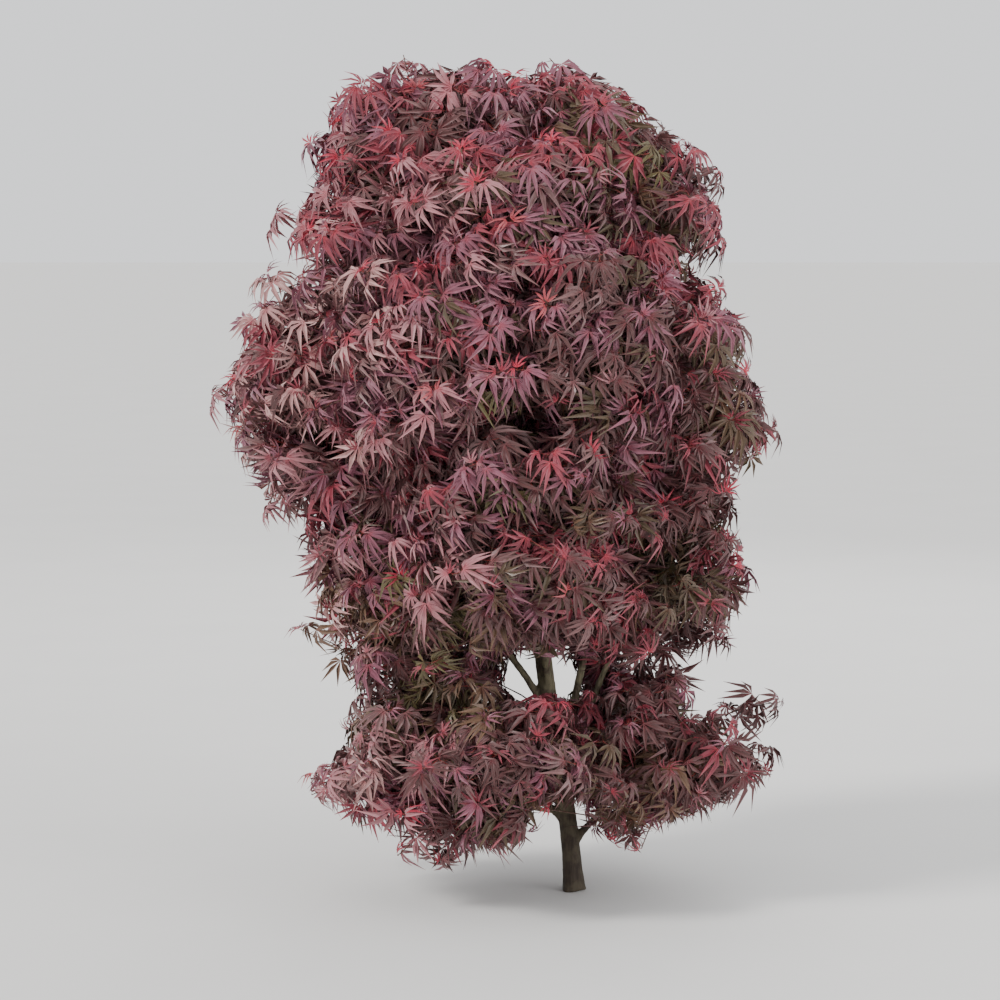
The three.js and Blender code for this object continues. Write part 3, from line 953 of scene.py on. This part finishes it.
def inner_tints(spot):
    """Weights for the leaves deep inside: dark tints that are partly their own colour and partly
    painted shade, lighter as painted light where light reaches them.
    """
    lit = max(ramp(spot.x, -150, -300), ramp(spot.z, 850, 1050))
    return {
        "shade": 0.45 * (1 - lit),
        "olive": 0.2,
        "bronze": 0.2 + 0.2 * lit,
        "maroon": 0.2 * (1 - lit),
        "dusk": 0.4 * lit,
    }


print("tints at the top left:", outer_tints(Vector((-300, 0, 1100))))

# %% Twigs that carry a spray
# Each kind of twig: radius at the foot and at the tip, sides, and stretches
STEM = (STEM_RADIUS, 2.4, 6, 8)
MAIN_TWIG = (2.4, 1.1, 5, 7)
SIDE_TWIG = (1.3, 0.7, 4, 3)
SHOOT = (0.9, 0.55, 3, 3)
TWIG_ARCH, ARCH_PLACE = 0.12, 0.55
SHOOT_SPREAD = math.radians(19)


def note_twig(path, foot_radius, tip_radius, sides, stretches):
    spots = [bezier(*path, ring / stretches) for ring in range(stretches + 1)]
    twig_notes.append((spots, foot_radius, tip_radius, sides))


def arched(start, end):
    """A start, a bend and an end, for a twig that rises first and then hangs."""
    return start, start.lerp(end, ARCH_PLACE) + UP * TWIG_ARCH * (end - start).length, end


def beside(direction, random):
    """A direction turned a little to a side that is drawn."""
    turn = 2 * math.pi * random()
    across = direction.orthogonal().normalized()
    swing = across * math.cos(turn) + direction.cross(across) * math.sin(turn)
    return (direction + swing * math.tan(SHOOT_SPREAD)).normalized()


def grow_leafy_twig(path, twig, kinds, random, pairs, skin):
    """A twig with a spray at its end. It is taken back if too few leaves fit."""
    leaves, stalks = len(leaf_notes), len(stalk_notes)
    note_twig(path, *twig)
    grow_spray(path, (path[2] - path[1]).normalized(), kinds, random, pairs, skin)
    if len(leaf_notes) - leaves >= len(pairs):
        return True
    del twig_notes[-1], leaf_notes[leaves:], stalk_notes[stalks:]
    return False


print("thickest twig:", 2 * STEM[0], "mm, thinnest:", 2 * SHOOT[1], "mm")

# %% Tips, shoots and inner twigs
STAND_OUT_SHARE, STAND_OUT_REACH, STAND_OUT_SKIN = 0.3, 1.2, 0.3
TIP_REACH, SHOOT_REACH, INNER_REACH = (0.9, 0.18), (0.8, 0.16), (0.4, 0.2)
LEAST_SKIN, CLUMP_SKIN, LEAST_OPEN = 0.66, 0.24, 0.75
TIP_SKIN = (LEAST_SKIN, 0.35)
SHOOT_FORK = 0.5
SECOND_SHOOT_SHARE = 0.45
OUTER_SHOOT_SHARE = 0.85
TIP_PAIRS, SHOOT_PAIRS, INNER_PAIRS = (0, 1, 2, 3, 4), (1, 2, 3, 4), (3, 4)


def grow_tip(mass, start, direction, random):
    """A side twig to the end of its reach with a spray, and one or two shoots from its side."""
    stands_out = random() < STAND_OUT_SHARE
    reach = reach_along(mass, direction, random())
    reach *= STAND_OUT_REACH if stands_out else drawn(TIP_REACH, random)
    tip = mass.centre + direction * reach
    skin = STAND_OUT_SKIN if stands_out else drawn(TIP_SKIN, random) - CLUMP_SKIN * swell(tip)
    if random() > kept_share(tip):
        return
    kind, young = pick(random, outer_tints(tip)), pick(random, young_tints(tip))
    under = pick(random, under_tints(tip))
    path = arched(start, tip)
    kinds = (young, kind, kind, under, under)
    grown = grow_leafy_twig(path, SIDE_TWIG, kinds, random, TIP_PAIRS, skin)
    fork = bezier(*path, SHOOT_FORK) if grown else start
    for _ in range(2 if random() < SECOND_SHOOT_SHARE else 1):
        grow_shoot(mass, fork, direction, under, random)


def grow_shoot(mass, fork, direction, under, random):
    """A shorter twig beside a side twig, whose spray fills the crown from below."""
    aside = beside(direction, random)
    end = mass.centre + aside * (reach_along(mass, aside, random()) * drawn(SHOOT_REACH, random))
    if random() > kept_share(end):
        return
    kind = pick(random, outer_tints(end)) if random() < OUTER_SHOOT_SHARE else under
    kinds = (kind, kind, kind, under, under)
    grow_leafy_twig(arched(fork, end), SHOOT, kinds, random, SHOOT_PAIRS, LEAST_SKIN)


def grow_inside(mass, start, direction, random):
    """A short twig with a spray in the shade, part of the way out."""
    share = drawn(INNER_REACH, random)
    end = mass.centre + direction * mass.room_along(direction) * share
    if kept_share(end) < LEAST_OPEN:
        return
    kinds = (pick(random, inner_tints(end)),) * len(TIP_PAIRS)
    grow_leafy_twig(arched(start, end), SHOOT, kinds, random, INNER_PAIRS, LEAST_SKIN)


print("pairs on a tip, a shoot and an inner twig:", TIP_PAIRS, SHOOT_PAIRS, INNER_PAIRS)

# %% Grow each mass
OPENING_RETREAT = 0.6
FILL_SHARE = 0.46
INNER_SHARE = 0.85
SIDE_FORK, INNER_FORK = (0.35, 0.3), (0.25, 0.2)


def grow_mass(mass):
    """A stem to the middle, the main twigs, and a tip and often an inner twig in each direction."""
    random = random_from(mass.seed)
    foot = mass.doorway - mass.entry * STEM_INSET
    note_twig((foot, mass.doorway + mass.entry * STEM_LEAD, mass.centre), *STEM)
    mains = []
    for direction in main_directions(open_directions(mass, OPEN_SHARE)):
        tip = mass.centre + direction * reach_along(mass, direction, random())
        if kept_share(tip) < 1:
            tip = mass.centre.lerp(tip, OPENING_RETREAT)
        mains.append((direction, arched(mass.centre, tip)))
        note_twig(mains[-1][1], *MAIN_TWIG)
    for direction in open_directions(mass, FILL_SHARE):
        path = max(mains, key=lambda main: main[0].dot(direction))[1]
        grow_tip(mass, bezier(*path, drawn(SIDE_FORK, random)), direction, random)
        if random() < INNER_SHARE:
            grow_inside(mass, bezier(*path, drawn(INNER_FORK, random)), direction, random)


for mass in masses:
    grow_mass(mass)
print(len(twig_notes), "twigs,", len(stalk_notes), "stalks,", len(leaf_notes), "leaves noted")

# %% Leaves of one kind as arrays
def leaves_as_arrays(notes):
    """Each noted leaf as its shape's corners, turned, sized and put in place."""
    parts = []
    for number, (corners, triangles, uvs, _) in enumerate(leaf_shapes):
        chosen = [note for note in notes if note[1] == number]
        if not chosen:
            continue
        base, forward, face, length = (np.array(column) for column in list(zip(*chosen))[2:])
        axes = np.stack([np.cross(forward, face), forward, face], axis=1) * length[:, None, None]
        placed = base[:, None, :] + np.einsum("ck,nkd->ncd", corners, axes)
        starts = np.arange(len(chosen)) * len(corners)
        numbered = (triangles[None] + starts[:, None, None]).reshape(-1, 3)
        parts.append((placed.reshape(-1, 3), numbered, np.tile(uvs, (len(chosen), 1))))
    return stacked(parts)


def joined_piece(name, corners, triangles, uvs=None):
    """A mesh object from arrays in millimetres."""
    mesh = bpy.data.meshes.new(name)
    mesh.from_pydata(corners * MM, [], triangles)
    if uvs is not None:
        layer = mesh.uv_layers.new(name="blade")
        layer.uv.foreach_set("vector", uvs[triangles.ravel()].ravel().astype(np.float32))
    mesh.shade_smooth()
    piece = bpy.data.objects.new(name, mesh)
    bpy.context.scene.collection.objects.link(piece)
    return piece


print("leaves can be joined from arrays")

# %% Twigs and stalks as arrays
STALK_RADIUS = 0.8
NEAR_X, NEAR_Z = 0.8, 0.9  # how much of a direction lies along an axis before another one guides it


def unit(rows):
    return rows / np.linalg.norm(rows, axis=1)[:, None]


def tube_arrays(spots, foot_radius, tip_radius, sides):
    """A tapering tube through the spots, closed at its tip."""
    line = np.array(spots)
    tangents = unit(np.gradient(line, axis=0))
    guide = (1.0, 0, 0) if abs(tangents[0][0]) < NEAR_X else (0, 1.0, 0)
    across = unit(np.cross(tangents, guide))
    over = np.cross(tangents, across)
    turns = np.arange(sides) * 2 * math.pi / sides
    radii = np.linspace(foot_radius, tip_radius, len(line))[:, None, None]
    cosines, sines = (wave(turns)[None, :, None] for wave in (np.cos, np.sin))
    ring = cosines * across[:, None] + sines * over[:, None]
    corners = np.vstack([(line[:, None] + ring * radii).reshape(-1, 3), line[-1:]])
    side = np.arange(sides)
    a, b = (np.arange(len(line))[:, None] * sides + edge for edge in (side, (side + 1) % sides))
    walls = np.stack([a, b, b + sides, a, b + sides, a + sides], axis=2)[:-1].reshape(-1, 3)
    cap = np.stack([a[-1], b[-1], np.full(sides, len(corners) - 1)], axis=1)
    return corners, np.vstack([walls, cap])


def stalk_arrays(notes):
    """Each stalk is a slim three-sided spike that ends in its blade."""
    foot, top = (np.array(column) for column in zip(*notes))
    along = unit(top - foot)
    guides = np.where(np.abs(along[:, 2:]) < NEAR_Z, [[0, 0, 1.0]], [[1.0, 0, 0]])
    across = unit(np.cross(along, guides))
    over = np.cross(along, across)
    turns = [2 * math.pi * side / 3 for side in range(3)]
    rims = [foot + (across * math.cos(turn) + over * math.sin(turn)) * STALK_RADIUS for turn in turns]
    corners = np.stack([*rims, top], axis=1).reshape(-1, 3)
    spike = np.array([(0, 1, 3), (1, 2, 3), (2, 0, 3)])
    return corners, (spike[None] + 4 * np.arange(len(notes))[:, None, None]).reshape(-1, 3)


twigs = joined_piece("twigs", *stacked([tube_arrays(*note) for note in twig_notes]))
stalks = joined_piece("leaf_stalks", *stalk_arrays(stalk_notes))
print("twigs:", len(twigs.data.polygons), "faces, stalks:", len(stalks.data.polygons), "faces")

# %% Join the leaves of each kind, in pieces small enough to export
MOST_TRIANGLES = 190_000
MOST_LEAVES = MOST_TRIANGLES // max(len(shape[1]) for shape in leaf_shapes)
leaf_pieces = []  # (kind, piece)
for kind in sorted({note[0] for note in leaf_notes}):
    notes = [note for note in leaf_notes if note[0] == kind]
    parts = math.ceil(len(notes) / MOST_LEAVES)
    for part in range(parts):
        arrays = leaves_as_arrays(notes[part::parts])
        leaf_pieces.append((kind, joined_piece(f"leaves_{kind}_{part + 1}", *arrays)))
        print(kind, part + 1, "has", len(notes[part::parts]), "leaves,", len(arrays[1]), "triangles")

# %% [markdown]
# ## Bark
# Young maple bark is thin, grey-brown and slightly streaked along the limb, with olive-grey patches
# where algae and dust settle. Near the ground it is painted darker, with fewer pale patches, as painted
# shade. Its crevices take a dark tint that is partly the darker bark in them and partly painted shade.
# Noise that is stretched upwards gives the streaks and the crevices, a coarser noise gives the patches,
# and height above the ground decides where the painted shade falls. The same streaks feed a bump, so
# that light catches their edges.

# %% Finish of the bark
STREAK_STRETCH = (1, 1, 0.16)
FOOT_SHADE_HEIGHTS = (0.06, 0.26)
BARK_TINTS = linear(66, 57, 48), linear(112, 99, 84)
# painted shade: the bark is painted darker towards the ground
FOOT_SHADE_TINT = linear(44, 35, 29)
PATCH_TINT = linear(150, 142, 114)
# the crevices' dark tint is partly the darker bark in them and partly painted shade
CREVICE_SHADE_TINT = linear(30, 23, 20)


def bark_finish():
    bark = Finish("grey_brown_bark", Specular_IOR_Level=0.3)
    along = bark.stretched(*STREAK_STRETCH)
    streaks = bark.noise(along, 260, detail=5.0, roughness=0.65)
    patches = bark.noise(bark.place(), 38, 3.0)
    # the mask of the painted shade at the trunk's foot, which also thins the pale patches there
    near_ground = 1 - bark.step(bark.part(bark.place(), "Z"), *FOOT_SHADE_HEIGHTS)
    dry = bark.blend(bark.step(streaks, 0.36, 0.66), *BARK_TINTS)
    wood = bark.blend(near_ground * 0.85, dry, FOOT_SHADE_TINT)
    pale = bark.step(patches, 0.4, 0.6) * (0.7 - 0.6 * near_ground)
    coat = bark.blend(pale, wood, PATCH_TINT)
    # dark crevices: partly darker bark, partly painted shade
    crevice = bark.step(bark.noise(along, 620, 2.0), 0.6, 0.75) * 0.5
    colour = bark.blend(crevice, coat, CREVICE_SHADE_TINT)
    relief = bark.bump(streaks - crevice * 0.4, strength=0.7, distance=0.0015)
    return bark.wear(Base_Color=colour, Roughness=0.72 + 0.2 * patches, Normal=relief)


TWIG_TINTS = linear(62, 38, 34), linear(96, 70, 58)
SPECK_TINT = linear(146, 124, 104)


def twig_finish():
    """Young wood is smoother than bark, dark and wine-brown, with paler specks."""
    wood = Finish("wine_brown_twigs", Specular_IOR_Level=0.35)
    specks = wood.step(wood.noise(wood.place(), 420, 2.0), 0.58, 0.7)
    tint = wood.blend(wood.noise(wood.place(), 30), *TWIG_TINTS)
    colour = wood.blend(specks * 0.5, tint, SPECK_TINT)
    relief = wood.bump(specks, strength=0.4, distance=0.0004)
    return wood.wear(Base_Color=colour, Roughness=0.6 + 0.15 * specks, Normal=relief)


STALK_TINTS = linear(150, 42, 48), linear(104, 58, 48)


def stalk_finish():
    """Leaf stalks are crimson, and browner where the noise is high."""
    stalk = Finish("crimson_stalks", Specular_IOR_Level=0.4)
    change = stalk.noise(stalk.place(), 60)
    colour = stalk.blend(change, *STALK_TINTS)
    grain = stalk.noise(stalk.stretched(1, 1, 0.3), 900)
    relief = stalk.bump(grain, strength=0.3, distance=0.0003)
    return stalk.wear(Base_Color=colour, Roughness=0.45 + 0.15 * change, Normal=relief)


trunk.data.materials.clear()
trunk.data.materials.append(bark_finish())
twigs.data.materials.append(twig_finish())
stalks.data.materials.append(stalk_finish())
print("limbs, twigs and stalks are finished")

# %% [markdown]
# ## Leaf surface
# A maple leaf is satin: it has a soft shine that turns pale against the sky, a redder foot, a midrib
# that stands out in a paler line, and faint side veins that run forward from it. The blade's own UV
# map says how far a point lies from the midrib and how far along the lobe, so the veins follow every
# lobe. A noise in space shifts the tint gently from leaf to leaf.

# %% Finish of each kind of leaf
VEINS_ALONG, VEINS_LEAN = 120, 26


def leaf_finish(kind, colour, shift, foot, vein):
    leaf = Finish(f"leaf_{kind}", Specular_IOR_Level=0.42, Sheen_Weight=0.1, Sheen_Roughness=0.4)
    blade = leaf.node("ShaderNodeUVMap", {"uv_map": "blade"})
    across, along = leaf.part(blade, "X"), leaf.part(blade, "Y")
    off_rib = leaf.math("ABSOLUTE", 2 * across - 1)
    rib = 1 - leaf.step(off_rib, 0.06, 0.25)
    veins = leaf.step(leaf.math("SINE", VEINS_ALONG * along - VEINS_LEAN * off_rib), 0.7, 1.0)
    change = leaf.step(leaf.noise(leaf.place(), 42, 2.0), 0.3, 0.7)
    tint = leaf.blend(change, colour, shift)
    rooted = leaf.blend(leaf.step(along, 0.4, 0.0), tint, foot)
    lined = leaf.blend(rib * 0.4 + veins * 0.1, rooted, vein)
    relief = leaf.bump(veins * 0.5 - rib, strength=0.35, distance=0.0004)
    return leaf.wear(Base_Color=lined, Roughness=0.33 + 0.14 * change, Normal=relief)


# For each kind: its colour, what that shifts to, the foot of the blade, and the veins
LEAF_TINTS = {
    "plum": ((134, 83, 98), (108, 63, 75), (144, 60, 75), (162, 102, 113)),
    "dusk": ((118, 86, 86), (99, 69, 69), (128, 64, 70), (144, 106, 104)),
    "maroon": ((92, 58, 59), (76, 48, 47), (106, 47, 53), (117, 73, 72)),
    "rose": ((165, 114, 119), (140, 90, 96), (166, 80, 92), (190, 134, 136)),
    "blush": ((188, 146, 143), (164, 121, 120), (178, 102, 108), (206, 164, 160)),
    "wine": ((142, 62, 75), (114, 51, 61), (166, 50, 66), (170, 90, 96)),
    "scarlet": ((178, 58, 78), (152, 50, 67), (196, 50, 70), (202, 100, 108)),
    "coral": ((176, 84, 90), (150, 68, 74), (188, 64, 74), (198, 116, 114)),
    "bronze": ((108, 82, 65), (91, 68, 54), (110, 63, 54), (124, 97, 75)),
    "olive": ((98, 88, 58), (84, 73, 48), (98, 74, 48), (112, 100, 66)),
    "shade": ((90, 70, 54), (76, 63, 46), (92, 62, 50), (104, 82, 64)),
}
finishes = {
    kind: leaf_finish(kind, *(linear(*tint) for tint in tints)) for kind, tints in LEAF_TINTS.items()
}
for kind, piece in leaf_pieces:
    piece.data.materials.append(finishes[kind])
print(len(finishes), "kinds of leaf are finished")

# %% [markdown]
# ## Tie the pieces to the frame
# Each piece moves with a body and hides the solids that it stands for. The plant is rooted and has no
# joints, so everything rides on the one body.

# %% Tie the pieces to the frame
MASS_NODES = [f"foliage_{mass.name}" for mass in masses]
BOUGH_NODES = [f"bough_{mass.name}" for mass in masses if mass.fork]


def tie(piece, nodes):
    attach(piece, "root")
    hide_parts(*nodes)


tie(trunk, ["trunk", *BOUGH_NODES])
tie(twigs, MASS_NODES)
tie(stalks, MASS_NODES)
for _, piece in leaf_pieces:
    tie(piece, MASS_NODES)
